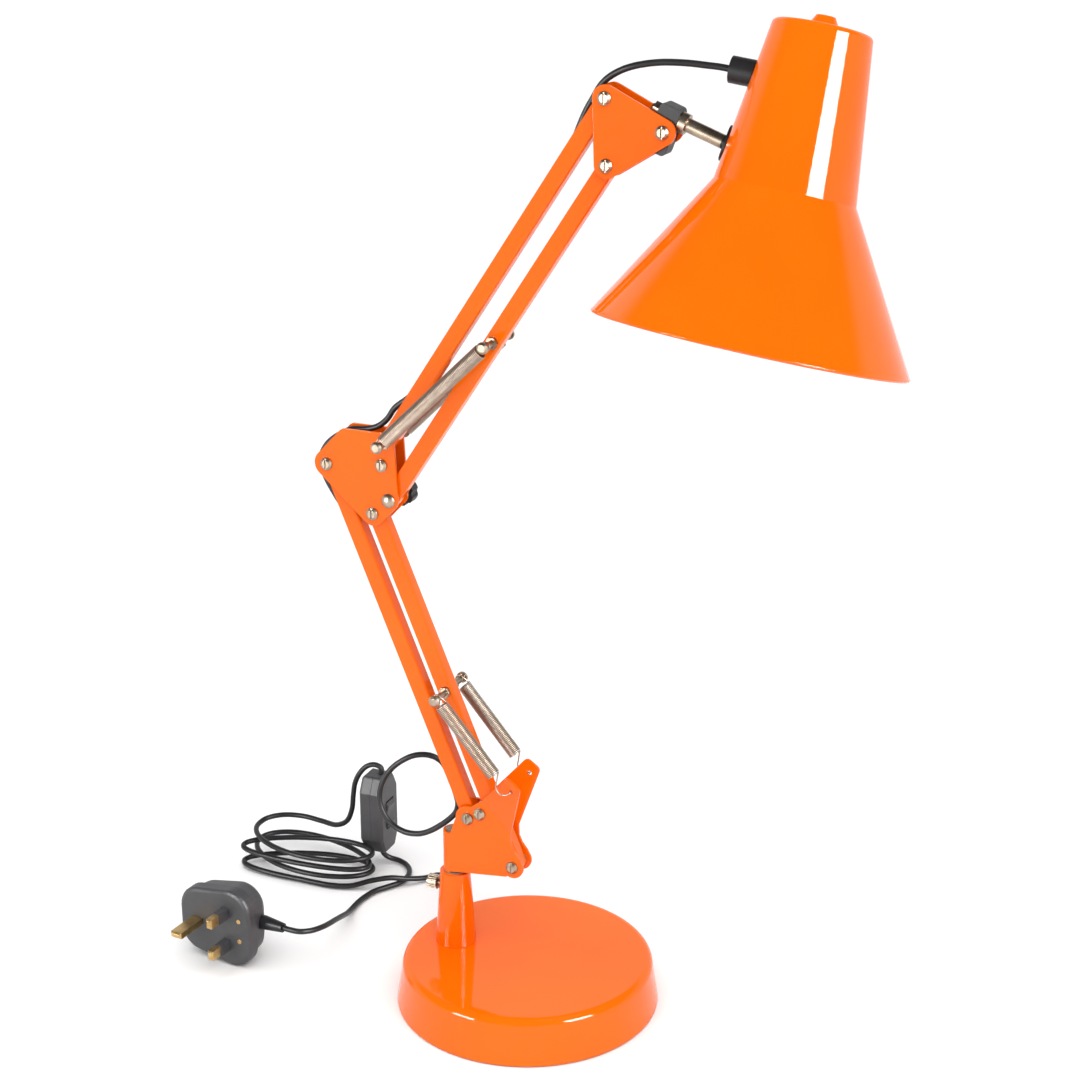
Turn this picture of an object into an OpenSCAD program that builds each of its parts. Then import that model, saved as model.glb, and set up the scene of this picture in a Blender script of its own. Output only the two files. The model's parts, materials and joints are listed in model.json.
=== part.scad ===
// Balanced-arm desk lamp: weighted round base, swivelling bracket, two sprung
// parallelogram arms, swivelling reflector shade and a mains lead with switch.
// Millimetres. Origin under the centre of the base, +Z up, +X to the front.

/* [Base] */
// Diameter of the base cover at the table
base_d = 160; // [150:1:180]
// How far the foot of the base cover stands out past its top edge
base_flare = 3.5; // [2:0.5:6]
// Height of the base above the table
base_h = 28; // [25:0.5:36]
// Radius of the rounded top edge
base_edge_r = 5; // [3:0.5:7]
// Wall of the pressed base cover
base_wall = 1.6; // [1:0.1:2.4]
// Thickness of the felt pad
pad_t = 2; // [1:0.5:3]
// Thickness of the iron weight
weight_t = 18; // [12:1:20]

/* [Post] */
// Distance of the post behind the base centre
post_setback = 48; // [42:1:54]
// Diameter of the post at its foot
post_foot_d = 25; // [22:0.5:30]
// Diameter of the post at its top
post_top_d = 18.5; // [17:0.5:21]
// Height of the post above the base
post_h = 48; // [40:1:60]
// Diameter of the swivel spigot
spigot_d = 11; // [9:0.5:11]
// Length of the spigot inside the post
spigot_len = 32; // [24:1:36]
// Diameter of the swivel lock screw
lock_d = 4; // [3:0.5:5]
// Diameter of the thumb head of the lock screw
lock_head_d = 9; // [8:0.5:12]

/* [Arms] */
// Distance between the pivots of the lower bars
lower_len = 230; // [200:1:260]
// Backward lean of the lower arm
lower_lean = 22.3; // [15:0.1:25]
// Distance between the pivots of the upper bars
upper_len = 241; // [210:1:270]
// Forward lean of the upper arm
upper_lean = 33.3; // [25:0.1:45]
// Width of a bar
bar_w = 9.5; // [8:0.5:10]
// Depth of a bar
bar_d = 9; // [8:0.5:10]
// Wall of the folded bars
bar_t = 1; // [0.8:0.1:1.4]
// Thickness of the pivot washers
washer_t = 0.8; // [0.5:0.1:1.2]
// Thickness of the bracket and pivot plates
plate_t = 1.5; // [1:0.1:2]
// Diameter of the pivot screws
screw_d = 4; // [3:0.5:4.5]
// Diameter of the screw heads
screw_head_d = 7.4; // [7:0.2:8]
// Rounding of the plates round their pivots
plate_r = 7; // [6.5:0.1:8]

/* [Bracket] */
// Rear lower pivot in front of the post axis
rear_pivot_dx = 12; // [10:0.5:14]
// Rear lower pivot above the top of the post
rear_pivot_dz = 40; // [36:0.5:44]
// Front pivot in front of the rear pivot
link_dx = 29; // [27:0.5:32]
// Front pivot below the rear pivot
link_dz = 27; // [25:0.5:29]
// Spring hole in front of the front pivot, along the ear
ear_hole_dx = 3.6; // [2:0.2:5]
// Spring hole above the front pivot, along the ear
ear_hole_dz = 54.8; // [50:0.2:58]
// Outward flare of the spring ears
ear_flare = 17; // [14:0.5:20]

/* [Elbow] */
// Upper rear pivot in front of the lower rear pivot
elbow_dx = 38.3; // [36:0.1:42]
// Upper rear pivot above the lower rear pivot
elbow_dz = 17; // [15:0.5:20]
// Upper front pivot in front of the upper rear pivot
upper_link_dx = 1.2; // [0:0.1:3]
// Upper front pivot below the upper rear pivot
upper_link_dz = 34.9; // [33:0.1:37]
// Diameter of the friction knob
knob_d = 16; // [14:0.5:18]
// Thickness of the friction knob
knob_t = 10; // [8:0.5:12]

/* [Springs] */
// Outer diameter of the springs
spring_od = 8.6; // [8:0.2:9]
// Diameter of the spring wire
wire_d = 0.9; // [0.7:0.1:1]
// Sideways place of the lower springs
lower_spring_y = 16; // [15:0.5:17]
// Sideways place of the upper springs
upper_spring_y = 14.5; // [14:0.5:16]
// Place of the lower stud along its bar
lower_stud_at = 115; // [100:1:125]
// Place of the upper stud along its bar
upper_stud_at = 119; // [105:1:130]
// Curls of a lower spring
lower_curls = 15; // [10:1:18]
// Curls of an upper spring
upper_curls = 21; // [16:1:28]

/* [Head] */
// Shade pivot in front of the upper rear head pivot
tilt_dx = 32; // [30:0.5:36]
// Shade pivot below the upper rear head pivot
tilt_dz = 16; // [14:0.5:18]
// Downward slope of the shade stem
stem_slope = 21.1; // [18:0.1:24]
// Stem axis above the shade pivot, square to the stem
stem_offset = 7.5; // [7:0.1:9]
// Diameter of the stem
stem_d = 7.5; // [7:0.1:9]
// Diameter of the stem's journal and thread
journal_d = 6; // [5:0.1:6]
// Length of the knuckle block along the stem
knuckle_len = 12; // [11:0.5:14]
// Height of the knuckle block across the stem
knuckle_h = 26; // [24:0.5:28]

/* [Shade] */
// Distance from the knuckle pivot to the shade axis along the stem
stem_reach = 68.3; // [64:0.1:74]
// Forward lean of the shade axis
shade_lean = 8.2; // [6:0.1:10]
// Turn of the shade about its stem
shade_turn = -14; // [-20:0.5:0]
// Diameter of the rim
rim_d = 168.6; // [160:0.2:180]
// Diameter of the waist
waist_d = 74.6; // [72:0.2:78]
// Diameter of the closed top
crown_d = 51.6; // [50:0.2:56]
// Height from the rim to the waist
flare_h = 79; // [74:0.5:86]
// Height from the waist to the top
crown_h = 84; // [80:0.5:90]
// Stem height above the waist
stem_over_waist = 10; // [8:0.5:13]
// Wall of the spun shade
shade_wall = 1.2; // [0.8:0.1:1.6]
// Height of the cord grip above the stem
grip_up = 45; // [40:0.5:50]
// Outer diameter of the cord grip
grip_d = 14; // [12:0.5:16]
// Length of the cord grip outside the shade
grip_len = 12; // [10:0.5:14]
// Diameter of the lampholder
holder_d = 34; // [32:0.5:36]
// Diameter of the bulb
bulb_d = 45; // [42:0.5:46]

/* [Lead] */
// Diameter of the mains cord
cord_d = 3.6; // [3.2:0.1:4]
// Turns of the cord in the loose bundle
bundle_turns = 3.25; // [2.25:1:4.25]
// Length of the cord switch
switch_len = 56; // [52:1:64]
// Width of the cord switch
switch_w = 25; // [23:0.5:28]
// Thickness of the cord switch
switch_t = 17; // [16:0.5:20]
// Height of the plug, as it lies on its side
plug_w = 52; // [50:0.5:54]
// Length of the plug along its cord
plug_len = 55; // [53:0.5:57]
// Length of the plug's cord sleeve
sleeve_len = 16; // [14:1:24]

/* [Hidden] */

$fn = 64;
fine = 96;
run_gap = 0.05;
side_gap = 0.1;
seat_gap = 0.3;
through = 1;

orange = [1.0, 0.42, 0.09];
black = [0.10, 0.10, 0.11];
steel = [0.72, 0.70, 0.66];
brass = [0.72, 0.55, 0.25];
iron = [0.32, 0.32, 0.33];
felt = [0.16, 0.17, 0.17];
ivory = [0.93, 0.93, 0.90];
nylon = [0.85, 0.85, 0.82];

// Heights and sideways places that the pieces share
rim_lift = 0.5;
base_top_d = base_d - 2 * base_flare;
post_x = -post_setback;
post_top = base_h + post_h;
swivel_washer_t = 1;
turret_z = post_top + swivel_washer_t;
plate_in = bar_d / 2 + washer_t + 2 * side_gap;
plate_out = plate_in + plate_t;
head_h = 2.3;
nut_h = 2.8;

// Pivots in the plane of the arms, as [x, z]
function polar(len, lean) = [len * sin(lean), len * cos(lean)];
rear_pivot = [post_x + rear_pivot_dx, post_top + rear_pivot_dz];
front_pivot = rear_pivot + [link_dx, -link_dz];
spacer_pivot = rear_pivot + [8, 4.6];
elbow_rear = rear_pivot + polar(lower_len, -lower_lean);
elbow_front = elbow_rear + [link_dx, -link_dz];
upper_rear = elbow_rear + [elbow_dx, elbow_dz];
upper_front = upper_rear + [upper_link_dx, -upper_link_dz];
elbow_spacer = elbow_rear + [elbow_dx - 2.8, elbow_dz - 14];
head_rear = upper_rear + polar(upper_len, upper_lean);
head_front = upper_front + polar(upper_len, upper_lean);
tilt_pivot = head_rear + [tilt_dx, -tilt_dz];
lower_stud = front_pivot + polar(lower_stud_at, -lower_lean);
upper_stud = upper_front + polar(upper_stud_at, upper_lean);

// Spring ears: the cheeks' upper corners, folded outwards along a slanting line
ear_hole_d = 2.6;
ear_hole = front_pivot + [ear_hole_dx, ear_hole_dz];
ear_bend = [rear_pivot + [10.3, 14.3], front_pivot + [-1.2, 22.8]];
ear_axis = unit(ear_bend[1] - ear_bend[0]);
ear_out = [-ear_axis[1], ear_axis[0]];
plate_mid = plate_in + plate_t / 2;
// Place of a point of the unfolded ear, at a height off its middle plane, on the near side
function on_ear(p, off = 0) = let (reach = (p - ear_bend[0]) * ear_out,
    q = p + (reach * (cos(ear_flare) - 1) - off * sin(ear_flare)) * ear_out)
  [q[0], -plate_mid - reach * sin(ear_flare) - off * cos(ear_flare), q[1]];

// Shade sizes along its own axis, measured from the stem
waist_z = -stem_over_waist;
rim_z = waist_z - flare_h;
crown_z = waist_z + crown_h;
crown_edge_r = 3;
rim_bead_r = 1.1;
function crown_r(z) = waist_d / 2 + (crown_d - waist_d) / 2 * (z - waist_z) / crown_h;
stem_wall = stem_reach - crown_r(stem_over_waist) / cos(stem_slope - shade_lean) - 0.4;
washer_d = 19;

// Cord routes by hand, each one continuing the last: offsets from the pivot they pass, and for the
// drop to the table shares of that pivot's height
function beside(pivot, route) = [for (q = route) [pivot[0] + q[0], q[1], pivot[1] + q[2]]];
function hung(pivot, route) = [for (q = route) [pivot[0] + q[0], q[1], pivot[1] * q[2]]];
channel_x = -1;
shade_route = beside(head_rear, [[50.7, 7, 17.5], [43.7, 5.6, 18.2], [36.4, 4, 18.6]]);
head_route = beside(head_rear, [[27.7, 2.5, 18.5], [19.7, 1, 17.6], [12, 0, 15.9], [5.1, 0, 13.2],
  [-0.7, 0, 9.7], [-5.2, 0, 5.2], [-8.6, 0, -0.4]]);
elbow_top_route = beside(elbow_rear, [[41.5, 0, 36.2], [36.5, 0, 29.2], [30.5, 0, 24.2], [22.3, 0, 21.6],
  [13.2, 0, 20.4]]);
elbow_side_route = beside(elbow_rear, [[4.6, 0, 16], [-2.9, 0, 9.8], [-6.8, 0, 2.8], [-6.9, 0, -4.6],
  [-4.1, 0, -11.8], [0.5, 0, -19.5]]);
loop_route = beside(rear_pivot, [[-9.6, 0, 3.6], [-11.4, 0, -1.6], [-15.4, 0, -6.4], [-21.6, 0, -12],
  [-28.8, 0, -17.2], [-36.5, 0.6, -20.9], [-46.4, 1.5, -22.1], [-55.5, 2.2, -19], [-61.8, 3, -12.4],
  [-64.9, 4.4, -4], [-63.8, 6, 5.5], [-59, 7.8, 14.6], [-52, 9.6, 21.3], [-43.5, 12.3, 25.7],
  [-35, 15.2, 25.8], [-29.3, 18.6, 21.5]]);
drop_route = hung(rear_pivot, [[-26.4, 23.5, 1.091], [-25.4, 30, 0.966], [-26.8, 40, 0.804],
  [-31.7, 53, 0.622], [-40.2, 68, 0.44], [-51.5, 84, 0.263], [-63, 99, 0.112], [-72.5, 110.5, 0.034],
  [-78.6, 111.8, 0.02]]);
floor_route = [[-119.4, 105, 2.6], [-128, 95.8, 4.6], [-138, 87.8, 7.2], [-149, 81.3, 6], [-161, 75.2, 2.8],
  [-174, 71.7, 2.2]];
arch_route = [[-243, 108, 22.3], [-235, 115.4, 22.8], [-221, 119.2, 22.8], [-205.5, 117.6, 22.8],
  [-191.5, 113.6, 24.4], [-182, 111.6, 30.5], [-178, 111.8, 40.5], [-176.8, 112, 51], [-175.4, 112.5, 60],
  [-172, 113.3, 67.6], [-167.2, 114.8, 73], [-161.8, 116, 74.6]];
plug_route = [[-148, 120.5, 2.6], [-140.5, 117.5, 2.2], [-134.5, 110.5, 2.2], [-132, 101.5, 2.2],
  [-133.6, 92.5, 2], [-138.5, 84.5, 2], [-143.5, 76.5, 2], [-146, 67.5, 2], [-146.8, 58, 2.2], [-146, 48, 3],
  [-143.6, 37.5, 5.8], [-140.6, 27, 10.2], [-137.8, 16.5, 14.8], [-135.6, 6, 18.8], [-134.4, -4, 21.8],
  [-135, -13.5, 23.8], [-138, -21.5, 25], [-143, -26.6, 25.8]];

// Switch and plug places
switch_foot = [-160, 116.5, 12];
plug_at = [-198, -40];
plug_turn = -6;
plug_depth = 26;
face_t = 9;
sleeve_tip = plug_len / 2 + sleeve_len - 2;

function unit(v) = v / norm(v);

// Round path through the points, with steps rings for each stretch
function blend4(a, b, c, d, t) =
  0.5 * (2 * b + (c - a) * t + (2 * a - 5 * b + 4 * c - d) * t * t + (3 * b - a - 3 * c + d) * t * t * t);
function at(p, i) = p[max(0, min(len(p) - 1, i))];
function smooth(p, steps) = concat(
  [for (i = [0 : len(p) - 2]) for (k = [0 : steps - 1])
    blend4(at(p, i - 1), p[i], p[i + 1], at(p, i + 2), k / steps)],
  [p[len(p) - 1]]);

// Closed tube along a path, turned as little as possible from ring to ring
function heading(p, i) = unit(at(p, i + 1) - at(p, i - 1));
function across(n, t) = unit(n - (n * t) * t);
function first_across(t) = across(abs(t[2]) < 0.9 ? [0, 0, 1] : [1, 0, 0], t);
function normals(p) = [for (i = 0, n = first_across(heading(p, 0)); i < len(p);
  i = i + 1, n = i < len(p) ? across(n, heading(p, i)) : n) n];
function ring(c, n, t, r, sides) =
  [for (k = [0 : sides - 1]) c + r * (cos(360 * k / sides) * n + sin(360 * k / sides) * cross(t, n))];
module tube(path, d, sides, from = 0, to = -1) {
  ns = normals(path);
  last = (to < 0 ? len(path) - 1 : to) - from;
  rings = [for (i = [from : from + last]) each ring(path[i], ns[i], heading(path, i), d / 2, sides)];
  walls = [for (i = [0 : last - 1]) for (k = [0 : sides - 1])
    let (a = i * sides + k, b = i * sides + (k + 1) % sides)
    each [[a, a + sides, b], [b, a + sides, b + sides]]];
  caps = [for (k = [1 : sides - 2]) each [[0, k, k + 1],
    [last * sides, last * sides + k + 1, last * sides + k]]];
  polyhedron(points = rings, faces = concat(walls, caps));
}
function least_gap(p, d, skip) =
  min([for (i = [0 : len(p) - 1 - skip]) for (j = [i + skip : len(p) - 1]) norm(p[i] - p[j])]) - d;

// Frames for pieces that lie across the arms or along a bar
module across_arm(p, y = 0) {
  translate([p[0], y, p[1]]) rotate([-90, 0, 0]) children();
}
module along_bar(p, lean) {
  translate([p[0], 0, p[1]]) rotate([0, lean, 0]) children();
}
module both_sides() {
  children();
  mirror([0, 1, 0]) children();
}

// Flat plate with round corners: points [x, z, radius] in order, seen from the front of the arm
function tangent(a, b) =
  let (v = [b[0] - a[0], b[1] - a[1]], turn = atan2(v[1], v[0]) - acos((a[2] - b[2]) / norm(v)),
    n = [cos(turn), sin(turn)])
  [[a[0], a[1]] + a[2] * n, [b[0], b[1]] + b[2] * n];
module rounded_outline(corners) {
  n = len(corners);
  polygon([for (i = [0 : n - 1]) each tangent(corners[i], corners[(i + 1) % n])]);
  for (c = corners) translate([c[0], c[1]]) circle(r = c[2]);
}
module arm_plate(corners, y0) {
  translate([0, y0 + plate_t, 0]) rotate([90, 0, 0]) linear_extrude(plate_t) rounded_outline(corners);
}
module screw_bores(points) {
  for (p = points) across_arm(p, -plate_out - through)
    cylinder(d = screw_d + 2 * run_gap, h = 2 * (plate_out + through));
}

// Pan-head screw with a hexagon nut on the far side
module pan_head(d, h) {
  cylinder(d = d, h = h * 0.55);
  translate([0, 0, h * 0.55]) cylinder(d1 = d, d2 = d * 0.62, h = h * 0.45);
}
module pivot_screw(p) {
  across_arm(p) {
    translate([0, 0, -plate_out]) cylinder(d = screw_d, h = 2 * plate_out + nut_h + 0.6);
    difference() {
      translate([0, 0, -plate_out]) mirror([0, 0, 1]) pan_head(screw_head_d, head_h);
      translate([0, 0, -plate_out - head_h]) cube([0.9, 2 * screw_head_d, 1.4], center = true);
    }
    translate([0, 0, plate_out]) cylinder(d = screw_head_d, h = nut_h, $fn = 6);
  }
}
module cheek_screw(p) {
  across_arm(p, -plate_out) {
    cylinder(d = screw_d, h = plate_t);
    difference() {
      mirror([0, 0, 1]) pan_head(screw_head_d, head_h);
      translate([0, 0, -head_h]) cube([0.9, 2 * screw_head_d, 1.4], center = true);
    }
  }
}
module pivot_washers(points) {
  for (p = points) both_sides() across_arm(p, bar_d / 2 + side_gap) difference() {
    cylinder(d = bar_w - 1, h = washer_t);
    translate([0, 0, -through]) cylinder(d = screw_d + 2 * run_gap, h = washer_t + 2 * through);
  }
}

// Folded bar, open at the back, with rounded folds, round ends and pivot bores
fold_r = 1.5;
module bar_profile() {
  difference() {
    union() {
      translate([-bar_w / 2, -bar_d / 2]) square([bar_w - fold_r, bar_d]);
      translate([0, -bar_d / 2 + fold_r]) square([bar_w / 2, bar_d - 2 * fold_r]);
      for (y = [-1, 1]) translate([bar_w / 2 - fold_r, y * (bar_d / 2 - fold_r)])
        circle(r = fold_r, $fn = 32);
    }
    translate([-bar_w / 2 - through, -bar_d / 2 + bar_t])
      square([bar_w - bar_t + through, bar_d - 2 * bar_t]);
  }
}
module folded_bar(len, bores) {
  difference() {
    intersection() {
      translate([0, 0, -bar_w]) linear_extrude(len + 2 * bar_w) bar_profile();
      rotate([90, 0, 0]) linear_extrude(2 * bar_d, center = true) {
        translate([-bar_w / 2, 0]) square([bar_w, len]);
        for (z = [0, len]) translate([0, z]) circle(d = bar_w);
      }
    }
    for (z = bores) translate([0, 0, z]) rotate([90, 0, 0])
      cylinder(d = screw_d + 2 * run_gap, h = bar_d + 2 * through, center = true);
  }
}

// Stud across a bar that carries the spring hooks
module spring_stud(p, reach) {
  across_arm(p) {
    translate([0, 0, -reach]) cylinder(d = screw_d, h = 2 * reach);
    for (m = [0, 1]) mirror([0, 0, m]) {
      translate([0, 0, bar_d / 2 + side_gap]) cylinder(d = screw_head_d, h = 2.4, $fn = 6);
      translate([0, 0, reach]) pan_head(screw_head_d - 0.6, head_h);
    }
  }
}

// Extension springs, drawn along a line from one hook to the other
coil_r = (spring_od - wire_d) / 2;
hook_r = screw_d / 2 + wire_d / 2 + 0.15;
function eye_in() = concat([[hook_r * cos(300) + wire_d, hook_r * sin(300), 0]],
  [for (a = [300 : -30 : 90]) [hook_r * cos(a), hook_r * sin(a), 0]]);
function eye_out(span) = [for (q = [len(eye_in()) - 1 : -1 : 0]) [span - eye_in()[q][0], eye_in()[q][1], 0]];
function curls(from, to, n) = [for (i = [0 : 8 * n])
  [from + (to - from) * i / (8 * n), coil_r * cos(45 * i), coil_r * sin(45 * i)]];
eye_neck = 4.6;
function eye_spring(span, n) = concat(eye_in(), curls(eye_neck, span - eye_neck, n), eye_out(span));
function in_plane(path, from, lean, y) = [for (q = path)
  [from[0] + q[0] * sin(lean) - q[1] * cos(lean), y + q[2], from[1] + q[0] * cos(lean) + q[1] * sin(lean)]];

upper_vector = upper_stud - upper_rear;
upper_spring_lean = atan2(upper_vector[0], upper_vector[1]);
function upper_spring_path(y) =
  in_plane(eye_spring(norm(upper_vector), upper_curls), upper_rear, upper_spring_lean, y);

// The lower spring ends in a hook that passes through the ear's hole from outside
ear_hook = ear_hole + [-10.5, 8.2];
lower_vector = ear_hook - lower_stud;
lower_spring_lean = atan2(lower_vector[0], lower_vector[1]);
function ear_end(y) = let (side = y < 0 ? 1 : -1)
  [for (q = concat([for (c = [[-9.4, 4.6], [-9.8, 1.4], [-8.2, -1.8], [-5.2, -2.8], [-2.4, -1.9]])
      [ear_hole[0] + c[0], -lower_spring_y - 0.4, ear_hole[1] + c[1]]],
    [on_ear(ear_hole, 2.2), on_ear(ear_hole, -2.2)])) [q[0], side * q[1], q[2]]];
function lower_spring_path(y) = concat(
  in_plane(concat(eye_in(), curls(eye_neck, norm(lower_vector) - 1, lower_curls)),
    lower_stud, lower_spring_lean, y),
  ear_end(y));
module spring(path, name) {
  echo(str(name, " least gap"), least_gap(path, wire_d, 5));
  color(steel) tube(path, wire_d, 6);
}

// Base and post
base_slope = base_flare / (base_h - base_edge_r);
module base_profile(inset, bottom) {
  r_top = base_top_d / 2 - inset;
  edge = base_edge_r - inset;
  top = base_h - inset;
  foot = base_d / 2 - inset - base_slope * bottom;
  polygon([[0, bottom], [foot, bottom], [r_top, base_h - base_edge_r], [r_top - edge, top], [0, top]]);
  translate([r_top - edge, base_h - base_edge_r]) intersection() {
    circle(r = edge, $fn = fine);
    square(base_edge_r);
  }
}
bolt_d = 6;
module base_shell() {
  color(orange) difference() {
    rotate_extrude($fn = fine) base_profile(0, rim_lift);
    rotate_extrude($fn = fine) base_profile(base_wall, -through);
    translate([post_x, 0, 0]) cylinder(d = bolt_d + 2 * run_gap, h = base_h + through);
  }
}
weight_r = base_d / 2 - base_wall - base_slope * (pad_t + weight_t) - seat_gap;
module base_weight() {
  color(iron) difference() {
    translate([0, 0, pad_t]) cylinder(r = weight_r, h = weight_t, $fn = fine);
    translate([post_x, 0, pad_t - through]) cylinder(d = 18, h = weight_t + 2 * through);
  }
}
module base_pad() {
  color(felt) cylinder(r = weight_r, h = pad_t, $fn = fine);
}
bolt_into_post = 10;
module post() {
  bore = spigot_d + 2 * run_gap;
  color(orange) translate([post_x, 0, base_h]) difference() {
    cylinder(d1 = post_foot_d, d2 = post_top_d, h = post_h);
    translate([0, 0, post_h - spigot_len - 1]) cylinder(d = bore, h = spigot_len + 1 + through);
    translate([0, 0, -through]) cylinder(d = bolt_d + 2 * run_gap, h = bolt_into_post + through);
    translate([0, 0, post_h - lock_drop]) rotate([0, -90, 0])
      cylinder(d = lock_d + 2 * run_gap, h = post_foot_d);
  }
}
module post_bolt() {
  under = base_h - base_wall;
  color(steel) translate([post_x, 0, 0]) {
    translate([0, 0, under - 0.1 - 4]) cylinder(d = 13, h = 4, $fn = 6);
    translate([0, 0, under - 0.2]) cylinder(d = bolt_d, h = base_wall + 0.2 + bolt_into_post - 0.5);
  }
}
lock_drop = 11;
module set_screw() {
  post_r = post_top_d / 2 + (post_foot_d - post_top_d) / 2 * lock_drop / post_h;
  tip = spigot_d / 2 + seat_gap;
  head_at = post_r + 1.6;
  color(steel) translate([post_x, 0, post_top - lock_drop]) rotate([0, -90, 0]) {
    translate([0, 0, tip]) cylinder(d = lock_d, h = head_at - tip + 0.5);
    difference() {
      translate([0, 0, head_at]) cylinder(d = lock_head_d, h = 6);
      for (a = [0 : 20 : 340]) rotate([0, 0, a]) translate([lock_head_d / 2, 0, head_at - through])
        cylinder(d = 0.7, h = 8, $fn = 16);
    }
  }
}

// Turret
wrap_z1 = rear_pivot[1] - 12.5;
module spigot() {
  color(steel) translate([post_x, 0, 0]) {
    translate([0, 0, post_top - spigot_len]) cylinder(d = spigot_d, h = spigot_len + swivel_washer_t);
    translate([0, 0, turret_z]) cylinder(r = plate_in - side_gap, h = wrap_z1 - turret_z);
  }
}
module cheek_outline() {
  foot_z = turret_z + 1;
  polygon([[post_x, foot_z], front_pivot + [-4, -plate_r], front_pivot + [plate_r - 0.4, 2.4],
    front_pivot + [4.4, 6.6], front_pivot + [1, 11], front_pivot + [-0.9, 15.6], ear_bend[1], ear_bend[0],
    rear_pivot + [2, plate_r + 1], rear_pivot + [-plate_r, 2], [post_x, wrap_z1]]);
  translate(rear_pivot) circle(r = plate_r + 1);
  translate(front_pivot) circle(r = plate_r);
}
module ear_outline() {
  rounded_outline([for (c = [[ear_bend[0], 0.3], [ear_bend[1], 0.3], [ear_hole + [2.6, 1.8], 3.4],
    [ear_hole + [-1.6, 5.4], 3]]) [c[0][0], c[0][1], c[1]]]);
}
module near_sheet() {
  translate([0, -plate_in, 0]) rotate([90, 0, 0]) linear_extrude(plate_t) children();
}
module cheek() {
  fold = [ear_bend[0][0], -plate_mid, ear_bend[0][1]];
  near_sheet() cheek_outline();
  translate(fold) rotate(ear_flare, [ear_axis[0], 0, ear_axis[1]]) difference() {
    translate(-fold) near_sheet() ear_outline();
    translate([ear_hole[0], 0, ear_hole[1]] - [fold[0], 0, fold[2]]) rotate([90, 0, 0])
      cylinder(d = ear_hole_d, h = 4 * plate_t, center = true);
  }
  translate(fold) rotate([0, atan2(ear_axis[0], ear_axis[1]), 0])
    cylinder(d = plate_t, h = norm(ear_bend[1] - ear_bend[0]));
}
module turret_bracket() {
  color(orange) difference() {
    union() {
      both_sides() cheek();
      translate([post_x, 0, turret_z]) difference() {
        cylinder(r = plate_out, h = wrap_z1 - turret_z);
        translate([0, 0, -through]) cylinder(r = plate_in, h = wrap_z1 - turret_z + 2 * through);
        translate([0, -2 * plate_out, -through]) cube([4 * plate_out, 4 * plate_out, 2 * wrap_z1]);
      }
    }
    screw_bores([rear_pivot, spacer_pivot, front_pivot]);
  }
}
module turret_screws() {
  color(steel) {
    pivot_screw(rear_pivot);
    pivot_screw(front_pivot);
    both_sides() cheek_screw(spacer_pivot);
  }
}
module turret_washers() {
  color(nylon) {
    pivot_washers([rear_pivot, front_pivot]);
    translate([post_x, 0, post_top]) difference() {
      cylinder(r = plate_out - side_gap, h = swivel_washer_t - side_gap);
      translate([0, 0, -through]) cylinder(d = spigot_d + 2 * run_gap, h = swivel_washer_t + 2 * through);
    }
  }
}

// Lower arm
module lower_rear_bar() {
  color(orange) along_bar(rear_pivot, -lower_lean) folded_bar(lower_len, [0, lower_len]);
}
module lower_front_bar() {
  color(orange) along_bar(front_pivot, -lower_lean) folded_bar(lower_len, [0, lower_stud_at, lower_len]);
}
module lower_spring_stud() {
  color(steel) spring_stud(lower_stud, lower_spring_y + 3);
}
module lower_spring_near() {
  spring(lower_spring_path(-lower_spring_y), "lower spring near");
}
module lower_spring_far() {
  spring(lower_spring_path(lower_spring_y), "lower spring far");
}

// Elbow
elbow_corners = [
  [elbow_rear[0], elbow_rear[1], plate_r + 1],
  [elbow_front[0], elbow_front[1], plate_r + 0.5],
  [upper_front[0], upper_front[1], plate_r - 1],
  [upper_rear[0], upper_rear[1], plate_r - 1.6],
  [elbow_rear[0] + 12, upper_rear[1] + 1.4, plate_r - 3]];
elbow_bores = [elbow_rear, elbow_front, upper_rear, upper_front, elbow_spacer];
module elbow_plate(y0) {
  color(orange) difference() {
    arm_plate(elbow_corners, y0);
    screw_bores(elbow_bores);
  }
}
module elbow_plate_near() {
  elbow_plate(-plate_out);
}
module elbow_plate_far() {
  elbow_plate(plate_in);
}
module elbow_screws() {
  color(steel) for (p = [elbow_rear, elbow_front, elbow_spacer]) pivot_screw(p);
}
pin_reach = upper_spring_y + 3;
module spring_pin() {
  color(steel) across_arm(upper_rear) {
    translate([0, 0, -pin_reach]) cylinder(d = screw_d, h = 2 * pin_reach);
    for (m = [0, 1]) mirror([0, 0, m]) {
      translate([0, 0, plate_out]) cylinder(d = screw_head_d, h = 2, $fn = 6);
      translate([0, 0, pin_reach]) pan_head(screw_head_d - 0.4, head_h);
    }
  }
}
knob_y = plate_out + seat_gap;
bolt_end = knob_y + knob_t - 2;
module friction_bolt() {
  color(steel) across_arm(upper_front) {
    translate([0, 0, -plate_out]) cylinder(d = screw_d, h = plate_out + bolt_end);
    translate([0, 0, -plate_out]) mirror([0, 0, 1]) intersection() {
      cylinder(d = screw_head_d + 1, h = head_h + 0.4);
      translate([0, 0, -3]) sphere(r = 5.7);
    }
  }
}
module elbow_washers() {
  color(nylon) pivot_washers([elbow_rear, elbow_front, upper_rear, upper_front]);
}
knob_lobes = 6;
module friction_knob() {
  color(black) across_arm(upper_front, knob_y) difference() {
    union() {
      cylinder(d = knob_d - 5, h = 2);
      translate([0, 0, 2]) cylinder(d = knob_d, h = knob_t - 3);
      translate([0, 0, knob_t - 1]) cylinder(d1 = knob_d, d2 = knob_d - 2, h = 1);
    }
    translate([0, 0, -through]) cylinder(d = screw_d + 2 * run_gap, h = knob_t - 1.7 + through);
    for (k = [0 : knob_lobes - 1]) rotate([0, 0, 360 / knob_lobes * k]) translate([knob_d / 2 + 1.2, 0, 2])
      cylinder(d = 5, h = knob_t);
  }
}

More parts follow.
